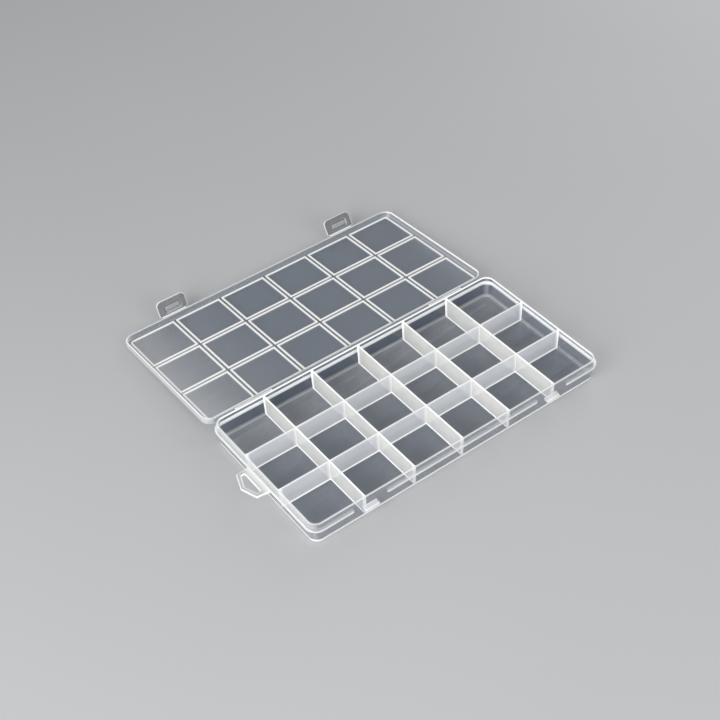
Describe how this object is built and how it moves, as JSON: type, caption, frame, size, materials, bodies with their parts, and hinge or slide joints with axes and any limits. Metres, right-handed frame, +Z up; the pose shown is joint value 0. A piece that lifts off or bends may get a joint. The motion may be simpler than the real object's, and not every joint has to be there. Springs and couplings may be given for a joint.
{
  "type": "craft storage organizer",
  "caption": "Shallow clear plastic box divided into fixed compartments, with a full lid on film hinges, hasp latches that snap over front catches, and a hanging tab at one end.",
  "frame": {"origin": "centre of the tray's underside, on the table's plane", "axes": "+X along the length of the box (the hanging tab is at -X), +Y from the front wall with the catches to the hinges, +Z up"},
  "size_m": [0.2406, 0.2383, 0.017],
  "materials": {
    "clear_polypropylene": "translucent natural polypropylene, smooth and slightly milky, whiter at edges"
  },
  "bodies": {
    "tray": {"tray_shell": "clear_polypropylene", "cross_divider_1": "clear_polypropylene", "cross_divider_2": "clear_polypropylene", "cross_divider_3": "clear_polypropylene", "cross_divider_4": "clear_polypropylene", "cross_divider_5": "clear_polypropylene", "long_divider_front": "clear_polypropylene", "long_divider_rear": "clear_polypropylene", "catch_left": "clear_polypropylene", "catch_right": "clear_polypropylene", "hang_tab": "clear_polypropylene", "lid_hinge_left": "clear_polypropylene", "lid_hinge_right": "clear_polypropylene"},
    "lid": {"lid_panel": "clear_polypropylene", "lid_frame_front_1": "clear_polypropylene", "lid_frame_front_2": "clear_polypropylene", "lid_frame_front_3": "clear_polypropylene", "lid_frame_front_4": "clear_polypropylene", "lid_frame_front_5": "clear_polypropylene", "lid_frame_front_6": "clear_polypropylene", "lid_frame_middle_1": "clear_polypropylene", "lid_frame_middle_2": "clear_polypropylene", "lid_frame_middle_3": "clear_polypropylene", "lid_frame_middle_4": "clear_polypropylene", "lid_frame_middle_5": "clear_polypropylene", "lid_frame_middle_6": "clear_polypropylene", "lid_frame_rear_1": "clear_polypropylene", "lid_frame_rear_2": "clear_polypropylene", "lid_frame_rear_3": "clear_polypropylene", "lid_frame_rear_4": "clear_polypropylene", "lid_frame_rear_5": "clear_polypropylene", "lid_frame_rear_6": "clear_polypropylene", "latch_web_left": "clear_polypropylene", "latch_web_right": "clear_polypropylene"},
    "latch_left": {"latch_left": "clear_polypropylene"},
    "latch_right": {"latch_right": "clear_polypropylene"}
  },
  "joints": [
    {"name": "lid_fold", "type": "hinge", "parent": "tray", "child": "lid", "pos_m": [0, 0.05835, 0.013], "axis": [1, 0, 0], "range_deg": [0, 183.85], "deforming": ["lid_hinge_left", "lid_hinge_right"]},
    {"name": "latch_left_fold", "type": "hinge", "parent": "lid", "child": "latch_left", "pos_m": [-0.0714, 0.17336, 0.0046], "axis": [1, 0, 0], "range_deg": [-75, 15], "deforming": ["latch_web_left"]},
    {"name": "latch_right_fold", "type": "hinge", "parent": "lid", "child": "latch_right", "pos_m": [0.0714, 0.17336, 0.0046], "axis": [1, 0, 0], "range_deg": [-64, 26], "deforming": ["latch_web_right"]}
  ]
}
